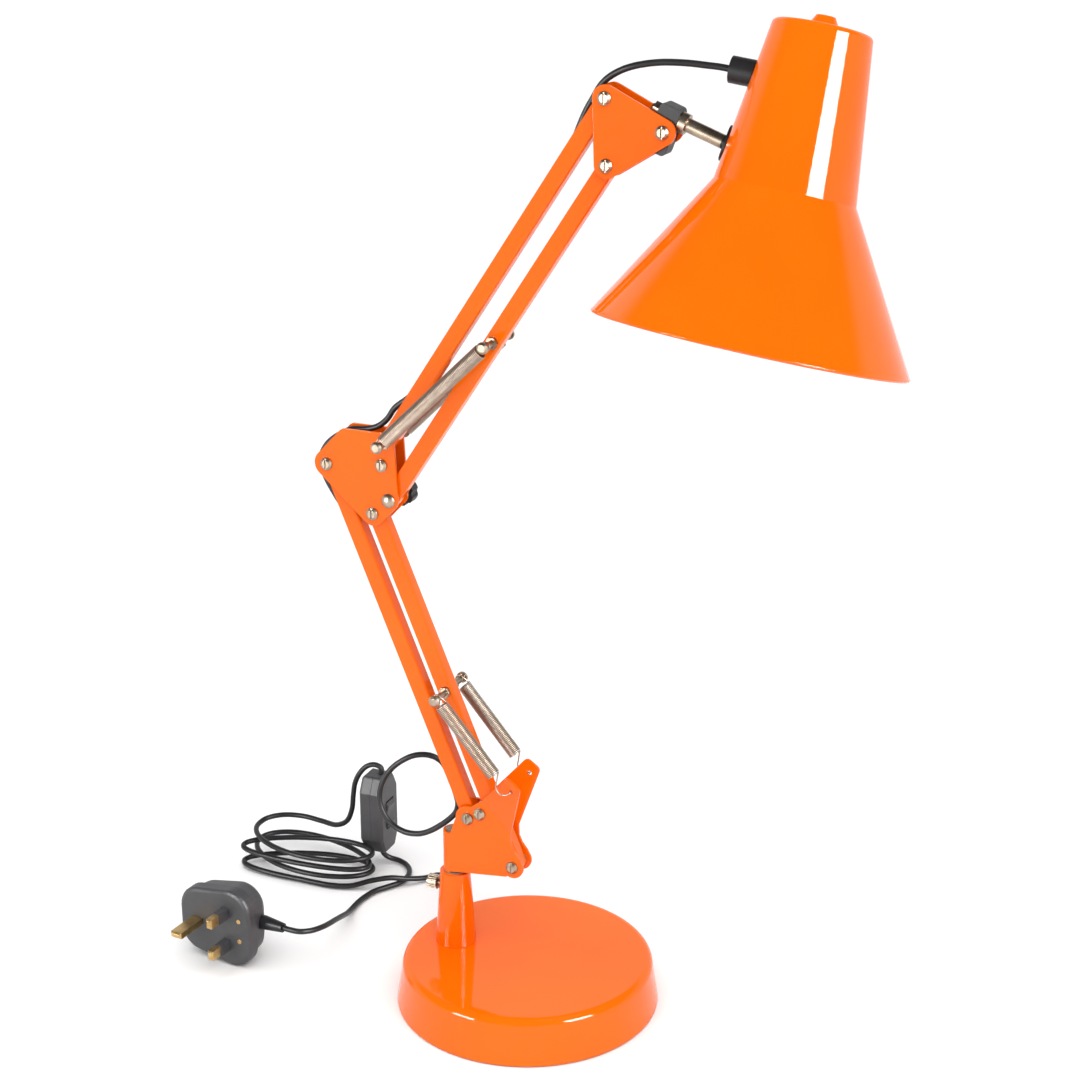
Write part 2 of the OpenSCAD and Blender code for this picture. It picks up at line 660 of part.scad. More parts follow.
// Upper arm
module upper_rear_bar() {
  color(orange) along_bar(upper_rear, upper_lean) folded_bar(upper_len, [0, upper_len]);
}
module upper_front_bar() {
  color(orange) along_bar(upper_front, upper_lean) folded_bar(upper_len, [0, upper_stud_at, upper_len]);
}
module upper_spring_stud() {
  color(steel) spring_stud(upper_stud, upper_spring_y + 3);
}
module upper_spring_near() {
  spring(upper_spring_path(-upper_spring_y), "upper spring near");
}
module upper_spring_far() {
  spring(upper_spring_path(upper_spring_y), "upper spring far");
}

// Head and knuckle
head_corners = [for (p = [head_rear, head_front, tilt_pivot]) [p[0], p[1], plate_r]];
module head_plate(y0) {
  color(orange) difference() {
    arm_plate(head_corners, y0);
    screw_bores([head_rear, head_front, tilt_pivot]);
  }
}
module head_plate_near() {
  head_plate(-plate_out);
}
module head_plate_far() {
  head_plate(plate_in);
}
module head_screws() {
  color(steel) for (p = [head_rear, head_front, tilt_pivot]) pivot_screw(p);
}
module head_washers() {
  color(nylon) pivot_washers([head_rear, head_front]);
}

// Frame on the stem: +Z along the stem, -X square to it and upwards
module stem_frame(offset = stem_offset) {
  translate([tilt_pivot[0], 0, tilt_pivot[1]]) rotate([0, 90 + stem_slope, 0]) translate([-offset, 0, 0])
    children();
}
knuckle_below = 12;
knuckle_front = 5;
knuckle_edge = 2.5;
module knuckle_block() {
  half = plate_in - 2 * side_gap;
  low = -knuckle_below + knuckle_edge;
  high = knuckle_h - knuckle_below - knuckle_edge;
  back = knuckle_front - knuckle_len + knuckle_edge;
  front = knuckle_front - knuckle_edge;
  color(black) difference() {
    stem_frame(0) rotate([90, 0, 0]) translate([0, 0, -half]) linear_extrude(2 * half) rounded_outline([
      [-high, back, knuckle_edge], [-low, back, knuckle_edge],
      [-low, front, knuckle_edge], [-high, front, knuckle_edge]]);
    across_arm(tilt_pivot, -plate_out) cylinder(d = screw_d + 2 * run_gap, h = 2 * plate_out);
    stem_frame() translate([0, 0, -2 * knuckle_len])
      cylinder(d = journal_d + 2 * run_gap, h = 4 * knuckle_len);
  }
}
collar_d = 11;
collar_t = 4;
thread_in = 6;
stem_back = knuckle_front - knuckle_len - seat_gap;
module stem() {
  color(steel) stem_frame() {
    translate([0, 0, stem_back - 4.5]) cylinder(d = journal_d, h = stem_wall + thread_in - stem_back + 4.5);
    translate([0, 0, knuckle_front + side_gap]) cylinder(d = collar_d, h = collar_t);
    translate([0, 0, knuckle_front + side_gap]) cylinder(d = stem_d, h = stem_wall - 2.6 - knuckle_front);
  }
}
module stem_nut() {
  color(steel) stem_frame() translate([0, 0, stem_back - 3.4]) difference() {
    cylinder(d = 9.4, h = 3.4, $fn = 6);
    translate([0, 0, -through]) cylinder(d = journal_d + 2 * run_gap, h = 3.4 + 2 * through);
  }
}

// Shade, along its own axis from the stem
module shade_frame() {
  stem_frame() translate([0, 0, stem_reach]) rotate([0, 0, shade_turn])
    rotate([0, shade_lean - 90 - stem_slope, 0]) children();
}
module shade_outline(inset) {
  edge = crown_edge_r;
  top = crown_z - inset;
  r_top = crown_r(crown_z) - inset;
  polygon([[0, rim_z], [rim_d / 2 - inset, rim_z], [waist_d / 2 - inset, waist_z],
    [crown_r(crown_z - edge) - inset, crown_z - edge], [r_top - edge, top], [0, top]]);
  intersection() {
    translate([crown_r(crown_z - edge) - inset - edge, crown_z - edge])
      circle(r = edge - (inset > 0 ? inset / 2 : 0));
    translate([0, rim_z]) square([rim_d, top - rim_z]);
  }
}
holder_neck_d = 10;
module shade_shell() {
  color(orange) difference() {
    shade_frame() {
      difference() {
        rotate_extrude($fn = fine) shade_outline(0);
        rotate_extrude($fn = fine) translate([0, -0.01]) shade_outline(shade_wall);
        translate([0, 0, crown_z - 2 * shade_wall - through])
          cylinder(d = holder_neck_d + 2 * run_gap, h = 4 * shade_wall);
        translate([0, 0, grip_up]) rotate([0, -90, 0]) cylinder(d = grip_neck_d + 2 * run_gap, h = waist_d);
      }
      rotate_extrude($fn = fine) translate([rim_d / 2 - rim_bead_r, rim_z]) circle(r = rim_bead_r, $fn = 24);
    }
    stem_frame() cylinder(d = journal_d + 2 * run_gap, h = stem_wall + 8);
  }
}
wall_washer_t = 1.2;
module shade_washer() {
  color(black) difference() {
    intersection() {
      stem_frame() translate([0, 0, stem_wall - 4]) cylinder(d = washer_d, h = 8);
      union() {
        shade_frame() rotate_extrude($fn = fine) shade_outline(-side_gap - wall_washer_t);
        stem_frame() translate([0, 0, stem_wall - 2.4]) cylinder(d = stem_d, h = 6);
      }
    }
    shade_frame() rotate_extrude($fn = fine) shade_outline(-side_gap);
    stem_frame() cylinder(d = journal_d + 2 * run_gap, h = 2 * stem_wall);
  }
}
module shade_nut() {
  color(steel) stem_frame() translate([0, 0, stem_wall + shade_wall + 1.1]) difference() {
    cylinder(d = 10.4, h = 3.4, $fn = 6);
    translate([0, 0, -through]) cylinder(d = journal_d + 2 * run_gap, h = 3.4 + 2 * through);
  }
}
holder_len = 40;
holder_top = crown_z - shade_wall - 4;
cap_d = 26.4;
cap_len = 22;
module lampholder() {
  color(black) shade_frame() difference() {
    union() {
      translate([0, 0, holder_top - holder_len]) cylinder(d = holder_d, h = holder_len - 6);
      translate([0, 0, holder_top - 6]) cylinder(d1 = holder_d, d2 = holder_d - 8, h = 6);
      translate([0, 0, holder_top])
        cylinder(d = holder_d - 12, h = crown_z - shade_wall - side_gap - holder_top);
      translate([0, 0, holder_top]) cylinder(d = holder_neck_d, h = crown_z + 4 - holder_top);
    }
    translate([0, 0, holder_top - holder_len - through]) cylinder(d = cap_d + 2 * seat_gap, h = cap_len + 6);
  }
}
module holder_nut() {
  color(orange) shade_frame() translate([0, 0, crown_z + side_gap]) difference() {
    union() {
      cylinder(d = 16, h = 1.5);
      translate([0, 0, 1.5]) cylinder(d1 = 14.5, d2 = 10, h = 4);
    }
    translate([0, 0, -through]) cylinder(d = holder_neck_d + 2 * run_gap, h = 4.1 + through);
  }
}
bulb_seat = holder_top - holder_len;
module bulb_cap() {
  color(brass) shade_frame() {
    translate([0, 0, bulb_seat]) cylinder(d = cap_d, h = cap_len);
    translate([0, 0, bulb_seat + cap_len]) cylinder(d1 = cap_d, d2 = 10, h = 2.5);
  }
}
module bulb_glass() {
  neck = 9;
  centre = -neck - sqrt(pow(bulb_d / 2, 2) - pow(cap_d / 2, 2));
  color(ivory) shade_frame() translate([0, 0, bulb_seat]) {
    translate([0, 0, -neck]) cylinder(d = cap_d, h = neck - 0.1);
    difference() {
      translate([0, 0, centre]) sphere(d = bulb_d);
      translate([0, 0, -neck]) cylinder(d = bulb_d, h = bulb_d);
    }
  }
}
grip_neck_d = 8;
module cord_grip() {
  wall_r = crown_r(grip_up);
  color(black) shade_frame() difference() {
    translate([0, 0, grip_up]) rotate([0, -90, 0]) {
      translate([0, 0, wall_r - 5]) cylinder(d = grip_neck_d, h = 6);
      difference() {
        cylinder(d = grip_d, h = wall_r + grip_len);
        cylinder(d = grip_d + 1, h = wall_r - 1.6);
      }
    }
    difference() {
      rotate_extrude($fn = fine) shade_outline(-side_gap);
      translate([0, 0, grip_up]) rotate([0, -90, 0]) cylinder(d = grip_neck_d, h = waist_d);
    }
  }
}

// Mains cord: one path from the grip to the switch, cut where it passes from piece to piece
function turn_y(p, a) = [p[0] * cos(a) + p[2] * sin(a), p[1], p[2] * cos(a) - p[0] * sin(a)];
function turn_z(p, a) = [p[0] * cos(a) - p[1] * sin(a), p[0] * sin(a) + p[1] * cos(a), p[2]];
function shade_point(p) = [tilt_pivot[0], 0, tilt_pivot[1]]
  + turn_y(turn_z(turn_y(p, shade_lean - 90 - stem_slope), shade_turn) + [-stem_offset, 0, stem_reach],
    90 + stem_slope);
function grip_point(out) = shade_point([-crown_r(grip_up) - grip_len - out, 0, grip_up]);
function bar_point(p, lean, up, x = channel_x) = [p[0] + up * sin(lean) + x * cos(lean), 0,
  p[1] + up * cos(lean) - x * sin(lean)];
function upper_point(up, x = channel_x) = bar_point(upper_rear, upper_lean, up, x);
function lower_point(up, x = channel_x) = bar_point(rear_pivot, -lower_lean, up, x);
upper_cord_top = upper_len - 62;
upper_cord_low = 44;
lower_cord_top = lower_len - 54;
lower_cord_low = 42;

// Loose bundle on the table: oval turns that fan out as they climb
bundle_at = [-200, 90];
bundle_long = 46;
bundle_wide = 19;
bundle_climb = 6;
bundle_fan = 14;
bundle_hold = 25;
function bundle_turn(t) = let (a = 270 - 360 * t, fan = bundle_fan * sin(180 * t),
    x = bundle_long * cos(a) - bundle_hold, y = bundle_wide * sin(a))
  [bundle_at[0] + bundle_hold + x * cos(fan) - y * sin(fan), bundle_at[1] + x * sin(fan) + y * cos(fan),
    2.2 + bundle_climb * t];
switch_entry = switch_foot + [2.5, 0, switch_len];
switch_exit = switch_foot + [2.5, 0, 0];

stretches = [
  concat([grip_point(0), grip_point(6)], shade_route),
  concat(head_route, [upper_point(upper_len - 13, -6.6), upper_point(upper_len - 21, -5.4),
    upper_point(upper_len - 30, -3.6), upper_point(upper_len - 39, -2.1), upper_point(upper_len - 50, -1.2),
    upper_point(upper_cord_top)]),
  [upper_point(upper_cord_low)],
  concat([upper_point(upper_cord_low - 8, -2), upper_point(upper_cord_low - 17, -4.8)], elbow_top_route),
  concat(elbow_side_route, [lower_point(lower_len - 28, -4.9), lower_point(lower_len - 37, -3),
    lower_point(lower_len - 46, -1.4), lower_point(lower_cord_top)]),
  [lower_point(lower_cord_low)],
  concat([lower_point(lower_cord_low - 9, -1.8), lower_point(lower_cord_low - 18, -3.4),
    lower_point(lower_cord_low - 27, -5)], loop_route),
  drop_route,
  concat(floor_route, [for (i = [0 : 24 * bundle_turns]) bundle_turn(i / 24)], arch_route,
    [switch_entry + [0.4, 0, 4.6], switch_entry])];
lamp_path = [for (s = stretches) each s];
function cut_at(k) = k < 0 ? 0 : cut_at(k - 1) + len(stretches[k]) - (k == 0 ? 1 : 0);
module cord_stretch(k, sides = 8) {
  color(black) tube(lamp_path, cord_d, sides, cut_at(k - 1), cut_at(k));
}
module cord_shade() {
  cord_stretch(0);
}
module cord_head() {
  cord_stretch(1);
}
module cord_upper() {
  cord_stretch(2);
}
module cord_elbow_top() {
  cord_stretch(3);
}
module cord_elbow_side() {
  cord_stretch(4);
}
module cord_lower() {
  cord_stretch(5);
}
module cord_loop() {
  cord_stretch(6);
}
module cord_drop() {
  cord_stretch(7);
}
module cord_bundle() {
  echo("bundle least gap", least_gap(stretches[8], cord_d, 8));
  cord_stretch(8, 6);
}
lead_path = concat([switch_exit, switch_exit + [0, 0, -3.4], switch_exit + [3.4, 2.2, -7.6]], plug_route,
  [sleeve_point(5.5), sleeve_point(0)]);
module cord_plug_lead() {
  color(black) tube(lead_path, cord_d, 8);
}

// Cord switch, standing on its end, in two halves with a rocker
switch_end_w = 14;
switch_taper = 11;
switch_edge = 1.6;
module switch_outline(inset) {
  r = 2;
  end = switch_end_w / 2 - inset / 2 - 0.6 * r;
  side = switch_w / 2 - inset - r;
  rounded_outline([[end, inset + r, r], [side, switch_taper, r], [side, switch_len - switch_taper, r],
    [end, switch_len - inset - r, r], [-end, switch_len - inset - r, r],
    [-side, switch_len - switch_taper, r], [-side, switch_taper, r], [-end, inset + r, r]], $fn = 32);
}
module switch_half(t) {
  rotate([90, 0, 90]) hull() {
    linear_extrude(t - switch_edge) switch_outline(0);
    linear_extrude(t) switch_outline(switch_edge);
  }
}
rocker_w = 10;
rocker_len = 20;
rocker_gap = 0.5;
rocker_pin_d = 2;
rocker_pin_out = 2;
module switch_back() {
  color(black) translate(switch_foot) mirror([1, 0, 0]) switch_half(switch_t / 2);
}
module switch_front() {
  color(black) translate(switch_foot) difference() {
    translate([0.05, 0, 0]) switch_half(switch_t / 2);
    translate([1.5, -rocker_w / 2 - rocker_gap, (switch_len - rocker_len) / 2 - rocker_gap])
      cube([switch_t, rocker_w + 2 * rocker_gap, rocker_len + 2 * rocker_gap]);
    translate([rocker_axis_x, 0, switch_len / 2]) rotate([90, 0, 0])
      cylinder(d = rocker_pin_d + 2 * run_gap, h = rocker_w + 2 * (rocker_pin_out + rocker_gap), center = true);
  }
}
rocker_axis_x = switch_t / 2 - 2.5;
module switch_rocker() {
  color(black) translate(switch_foot + [rocker_axis_x, 0, switch_len / 2]) {
    intersection() {
      translate([-2.5, -rocker_w / 2, -rocker_len / 2 + 0.6]) cube([8, rocker_w, rocker_len - 1.2]);
      difference() {
        translate([-13, 0, 0]) rotate([90, 0, 0]) cylinder(r = 18.4, h = rocker_w, center = true);
        translate([22, 0, 0]) rotate([90, 0, 0]) cylinder(r = 19, h = 2 * rocker_w, center = true);
      }
    }
    rotate([90, 0, 0]) cylinder(d = rocker_pin_d, h = rocker_w + 2 * rocker_pin_out, center = true);
  }
}

// Three-pin plug lying on its side, pins towards the viewer
module plug_frame() {
  translate([plug_at[0], plug_at[1], plug_w / 2]) rotate([0, 0, plug_turn]) rotate([90, 0, 0]) children();
}
function sleeve_point(out) = [plug_at[0], plug_at[1], plug_w / 2]
  + turn_z([sleeve_tip + out, (plug_depth + face_t) / 2, 0], plug_turn);
plug_corner_r = 14;
module plug_outline(shrink) {
  along = plug_len / 2 - shrink;
  half = plug_w / 2 - shrink;
  r = plug_corner_r;
  rounded_outline([[-along + r + 2, -half + r + 4, r], [along - r, -half + r, r], [along - r, half - r, r],
    [-along + r + 2, half - r - 4, r]], $fn = 32);
}
plug_layer_t = 0.6;
module plug_layers(layers) {
  hull() for (c = layers) translate([0, 0, c[0]]) linear_extrude(plug_layer_t) plug_outline(c[1]);
}
module plug_face() {
  color(black) plug_frame() difference() {
    plug_layers([[-face_t, 0], [-2.9, 0], [-1.5, 0.5], [-plug_layer_t, 1.8]]);
    for (p = pin_places) translate([p[0] - p[2] / 2 - run_gap, p[1] - p[3] / 2 - run_gap, -pin_root])
      cube([p[2] + 2 * run_gap, p[3] + 2 * run_gap, pin_root + through]);
    for (p = face_screws) translate([p[0], p[1], -face_screw_t])
      cylinder(d = face_screw_d + 2 * run_gap, h = 2 * face_screw_t);
  }
}
sleeve_d = 9;
module plug_cover() {
  color(black) plug_frame() difference() {
    plug_layers([[-face_t - side_gap - plug_layer_t, 1.4], [-plug_depth + 7, 2.4], [-plug_depth + 3, 4.6],
      [-plug_depth + 1, 7.4], [-plug_depth, 10]]);
    translate([plug_len / 2 - 8, 0, -(plug_depth + face_t) / 2]) rotate([0, 90, 0])
      cylinder(d = sleeve_d + 2 * run_gap, h = 20);
  }
}
// Pins as [x, y, width, height, length]: earth away from the cord, line and neutral beside it
pin_root = 5;
pin_tip = 1;
face_screws = [[20, 7], [20, -7]];
face_screw_d = 3;
face_screw_t = 1.5;
pin_places = [[-12, 0, 8, 4, 22.7], [10.2, 11.1, 4, 6.4, 17.7], [10.2, -11.1, 4, 6.4, 17.7]];
module plug_pins() {
  color(brass) plug_frame() {
    for (p = pin_places) translate([p[0], p[1], 0]) hull() {
      translate([-p[2] / 2, -p[3] / 2, -pin_root]) cube([p[2], p[3], p[4] + pin_root - pin_tip]);
      translate([-p[2] / 2 + pin_tip, -p[3] / 2 + pin_tip, 0])
        cube([p[2] - 2 * pin_tip, p[3] - 2 * pin_tip, p[4]]);
    }
    for (p = face_screws) translate([p[0], p[1], -face_screw_t])
      cylinder(d = face_screw_d, h = face_screw_t + 0.2);
  }
}
// Black sleeves on the root halves of the line and neutral pins
pin_sleeve_len = 9.5;
pin_sleeve_t = 0.4;
module pin_sleeves() {
  color(black) plug_frame() for (p = [pin_places[1], pin_places[2]]) translate([p[0], p[1], 0])
    linear_extrude(pin_sleeve_len) difference() {
      square([p[2] + 2 * pin_sleeve_t, p[3] + 2 * pin_sleeve_t], center = true);
      square([p[2] + 2 * run_gap, p[3] + 2 * run_gap], center = true);
    }
}
module plug_sleeve() {
  color(black) plug_frame() translate([plug_len / 2 - 7.5, 0, -(plug_depth + face_t) / 2]) rotate([0, 90, 0]) {
    cylinder(d = sleeve_d, h = 7.5);
    translate([0, 0, 7.5]) cylinder(d1 = sleeve_d, d2 = cord_d + 2.4, h = sleeve_len - 2);
  }
}

base_shell();
base_weight();
base_pad();
post();
post_bolt();
set_screw();
spigot();
turret_bracket();
turret_screws();
turret_washers();
lower_rear_bar();
lower_front_bar();
lower_spring_stud();
lower_spring_near();
lower_spring_far();
elbow_plate_near();
elbow_plate_far();
elbow_screws();
spring_pin();
friction_bolt();
elbow_washers();
friction_knob();
upper_rear_bar();
upper_front_bar();
upper_spring_stud();
upper_spring_near();
upper_spring_far();
head_plate_near();
head_plate_far();
head_screws();
head_washers();
knuckle_block();
stem();
stem_nut();
shade_washer();
shade_nut();
shade_shell();
lampholder();
holder_nut();
bulb_cap();
bulb_glass();
cord_grip();
cord_shade();
cord_head();
cord_upper();
cord_elbow_top();
cord_elbow_side();
cord_lower();
cord_loop();
cord_drop();
cord_bundle();
cord_plug_lead();
switch_back();
switch_front();
switch_rocker();
plug_face();
plug_cover();
plug_pins();
pin_sleeves();
plug_sleeve();
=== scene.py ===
import bpy
import json
import math
from mathutils import Vector, Matrix


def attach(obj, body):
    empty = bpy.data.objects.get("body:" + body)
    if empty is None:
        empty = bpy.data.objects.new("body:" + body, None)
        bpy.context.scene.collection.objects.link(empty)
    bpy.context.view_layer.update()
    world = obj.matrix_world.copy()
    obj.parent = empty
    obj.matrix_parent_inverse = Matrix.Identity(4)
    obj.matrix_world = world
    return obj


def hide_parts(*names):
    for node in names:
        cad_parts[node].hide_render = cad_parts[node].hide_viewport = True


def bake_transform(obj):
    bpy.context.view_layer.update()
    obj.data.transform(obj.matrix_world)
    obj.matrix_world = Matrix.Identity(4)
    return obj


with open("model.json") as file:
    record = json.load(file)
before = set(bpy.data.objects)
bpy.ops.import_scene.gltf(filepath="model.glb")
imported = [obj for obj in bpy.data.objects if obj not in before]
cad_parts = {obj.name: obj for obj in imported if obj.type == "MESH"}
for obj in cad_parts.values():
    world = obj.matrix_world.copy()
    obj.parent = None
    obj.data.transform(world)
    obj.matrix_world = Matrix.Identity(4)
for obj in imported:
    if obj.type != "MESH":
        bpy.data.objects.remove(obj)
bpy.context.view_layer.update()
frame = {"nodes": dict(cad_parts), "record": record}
nodes = frame["nodes"]
print("lamp frame loaded:", len(nodes), "pieces")

# camera at the photograph's angle
viewPoint = {"place": (0.438631, -1.035457, 0.69124), "pitch": 0.338, "turn": 0.394,
             "lens": 69.848, "sensor": 36.0, "near": 0.01}
cameraData = bpy.data.cameras.new("photoCamera")
cameraData.lens = viewPoint["lens"]
cameraData.sensor_width = viewPoint["sensor"]
cameraData.sensor_fit = "AUTO"
cameraData.clip_start = viewPoint["near"]
camera = bpy.data.objects.new("photoCamera", cameraData)
camera.location = viewPoint["place"]
camera.rotation_euler = (math.pi / 2 - viewPoint["pitch"], 0, viewPoint["turn"])
bpy.context.scene.collection.objects.link(camera)
bpy.context.scene.camera = camera


def clearSelection():
    if bpy.context.mode != "OBJECT":
        bpy.ops.object.mode_set(mode="OBJECT")
    bpy.ops.object.select_all(action="DESELECT")


def pickUp(piece):
    clearSelection()
    piece.select_set(True)
    bpy.context.view_layer.objects.active = piece


def applyAll(piece):
    pickUp(piece)
    for modifier in list(piece.modifiers):
        bpy.ops.object.modifier_apply(modifier=modifier.name)


def settle(piece):
    pickUp(piece)
    bpy.ops.object.transform_apply(location=True, rotation=True, scale=True)


# finishes, all on object coordinates: a slow cloud tints them, a fine grain varies gloss and surface
noiseUse = {"cloudDetail": 3.0, "grainDetail": 2.0, "tint": (0.35, 0.65), "gloss": (0.3, 0.7),
            "edgeSamples": 4}


def newFinish(name):
    finish = bpy.data.materials.new(name)
    finish.use_nodes = True
    tree = finish.node_tree
    shader = tree.nodes["Principled BSDF"]
    place = tree.nodes.new("ShaderNodeTexCoord")
    return finish, tree, shader, place


def addNoise(tree, place, scale, detail):
    noise = tree.nodes.new("ShaderNodeTexNoise")
    noise.inputs["Scale"].default_value = scale
    noise.inputs["Detail"].default_value = detail
    tree.links.new(place.outputs["Object"], noise.inputs["Vector"])
    return noise


def tintBetween(tree, noise, dark, light):
    ramp = tree.nodes.new("ShaderNodeValToRGB")
    for stop, position, tint in zip(ramp.color_ramp.elements, noiseUse["tint"], (dark, light)):
        stop.position = position
        stop.color = (*tint, 1)
    tree.links.new(noise.outputs["Fac"], ramp.inputs["Fac"])
    return ramp


def spread(tree, noise, low, high):
    reach = tree.nodes.new("ShaderNodeMapRange")
    reach.inputs["From Min"].default_value, reach.inputs["From Max"].default_value = noiseUse["gloss"]
    reach.inputs["To Min"].default_value = low
    reach.inputs["To Max"].default_value = high
    tree.links.new(noise.outputs["Fac"], reach.inputs["Value"])
    return reach


def addSurface(tree, shader, noise, strength, distance, edge):
    bump = tree.nodes.new("ShaderNodeBump")
    bump.inputs["Strength"].default_value = strength
    bump.inputs["Distance"].default_value = distance
    tree.links.new(noise.outputs["Fac"], bump.inputs["Height"])
    if edge:
        soft = tree.nodes.new("ShaderNodeBevel")
        soft.samples = noiseUse["edgeSamples"]
        soft.inputs["Radius"].default_value = edge
        tree.links.new(soft.outputs["Normal"], bump.inputs["Normal"])
    tree.links.new(bump.outputs["Normal"], shader.inputs["Normal"])
    tree.links.new(bump.outputs["Normal"], shader.inputs["Coat Normal"])


def makeFinish(name, look):
    finish, tree, shader, place = newFinish(name)
    cloud = addNoise(tree, place, look["cloud"], noiseUse["cloudDetail"])
    grain = addNoise(tree, place, look["grain"], noiseUse["grainDetail"])
    tint = tintBetween(tree, cloud, look["dark"], look["light"])
    tree.links.new(tint.outputs["Color"], shader.inputs["Base Color"])
    gloss = spread(tree, grain, *look["rough"])
    tree.links.new(gloss.outputs["Result"], shader.inputs["Roughness"])
    shader.inputs["Metallic"].default_value = look.get("metal", 0.0)
    shader.inputs["Coat Weight"].default_value = look.get("coat", 0.0)
    shader.inputs["Coat Roughness"].default_value = look.get("coatRough", 0.1)
    shader.inputs["Coat IOR"].default_value = look.get("coatIor", 1.5)
    shader.inputs["Specular IOR Level"].default_value = look.get("specular", 0.5)
    shader.inputs["Sheen Weight"].default_value = look.get("fuzz", 0.0)
    addSurface(tree, shader, grain, look["bump"], look["depth"], look.get("edge", 0.0))
    return finish


finishLooks = {
    "orange_paint": {"dark": (0.93, 0.135, 0.001), "light": (0.97, 0.152, 0.002), "cloud": 9, "grain": 1500,
                     "rough": (0.36, 0.44), "bump": 0.02, "depth": 0.00003, "specular": 0.0, "edge": 0.0005,
                     "coat": 1.0, "coatRough": 0.03, "coatIor": 1.34},
    # plated steel: a darker steel, whose warm brown tint is painted reflection of the orange paint around the
    # screws
    "plated_steel": {"dark": (0.30, 0.24, 0.18), "light": (0.44, 0.36, 0.28), "cloud": 160, "grain": 2400,
                     "rough": (0.26, 0.40), "bump": 0.05, "depth": 0.00003, "metal": 1.0, "edge": 0.0003},
    "spring_steel": {"dark": (0.36, 0.29, 0.23), "light": (0.43, 0.35, 0.29), "cloud": 240, "grain": 3000,
                     "rough": (0.36, 0.50), "bump": 0.04, "depth": 0.00002, "metal": 1.0},
    "black_plastic": {"dark": (0.009, 0.009, 0.010), "light": (0.015, 0.015, 0.017),
                      "cloud": 70, "grain": 2600, "rough": (0.38, 0.5), "bump": 0.12, "depth": 0.00004,
                      "specular": 0.32, "edge": 0.0005},
    "black_moulding": {"dark": (0.040, 0.040, 0.044), "light": (0.056, 0.055, 0.060),
                       "cloud": 60, "grain": 2200, "rough": (0.42, 0.55), "bump": 0.15, "depth": 0.00005,
                       "edge": 0.0008},
    "black_cord": {"dark": (0.008, 0.008, 0.009), "light": (0.014, 0.014, 0.016),
                   "cloud": 90, "grain": 1800, "rough": (0.36, 0.48), "bump": 0.10, "depth": 0.00004,
                   "specular": 0.36},
    # nylon: painted shade; the washers are off-white nylon, and this dark brown stands in for the shade in the
    # gaps where they sit
    "nylon": {"dark": (0.22, 0.15, 0.10), "light": (0.29, 0.21, 0.14), "cloud": 120, "grain": 1800,
              "rough": (0.45, 0.55), "bump": 0.05, "depth": 0.00003},
    "cast_iron": {"dark": (0.05, 0.05, 0.052), "light": (0.10, 0.10, 0.102), "cloud": 140, "grain": 700,
                  "rough": (0.6, 0.85), "bump": 0.5, "depth": 0.0004, "metal": 0.6},
    "felt": {"dark": (0.016, 0.017, 0.017), "light": (0.035, 0.036, 0.036), "cloud": 500, "grain": 1400,
             "rough": (0.9, 1.0), "bump": 0.7, "depth": 0.0006, "fuzz": 0.3, "specular": 0.1},
    "brass": {"dark": (0.46, 0.30, 0.12), "light": (0.62, 0.43, 0.19), "cloud": 130, "grain": 1600,
              "rough": (0.26, 0.42), "bump": 0.08, "depth": 0.00003, "metal": 1.0, "edge": 0.0004},
    "bulb_glass": {"dark": (0.86, 0.86, 0.84), "light": (0.93, 0.93, 0.91), "cloud": 25, "grain": 900,
                   "rough": (0.10, 0.16), "bump": 0.01, "depth": 0.00001, "coat": 0.5, "coatRough": 0.04},
    "white_enamel": {"dark": (0.80, 0.79, 0.76), "light": (0.86, 0.85, 0.82), "cloud": 18, "grain": 1400,
                     "rough": (0.32, 0.4), "bump": 0.06, "depth": 0.00004, "coat": 0.2},
}
finishes = {name: makeFinish(name, look) for name, look in finishLooks.items()}

wearsFinish = {}  # which finish each CAD piece has
for entry in frame["record"]["subparts"]:
    wearsFinish[entry["node"]] = entry["material_slot"]
for name, piece in nodes.items():
    finishName = wearsFinish.get(name, "plated_steel")
    piece.data.materials.clear()
    piece.data.materials.append(finishes[finishName])
    for face in piece.data.polygons:
        face.material_index = 0
print("finishes made:", len(finishes), "pieces dressed:", len(wearsFinish))


def dress(piece, finishName):
    piece.data.materials.clear()
    piece.data.materials.append(finishes[finishName])


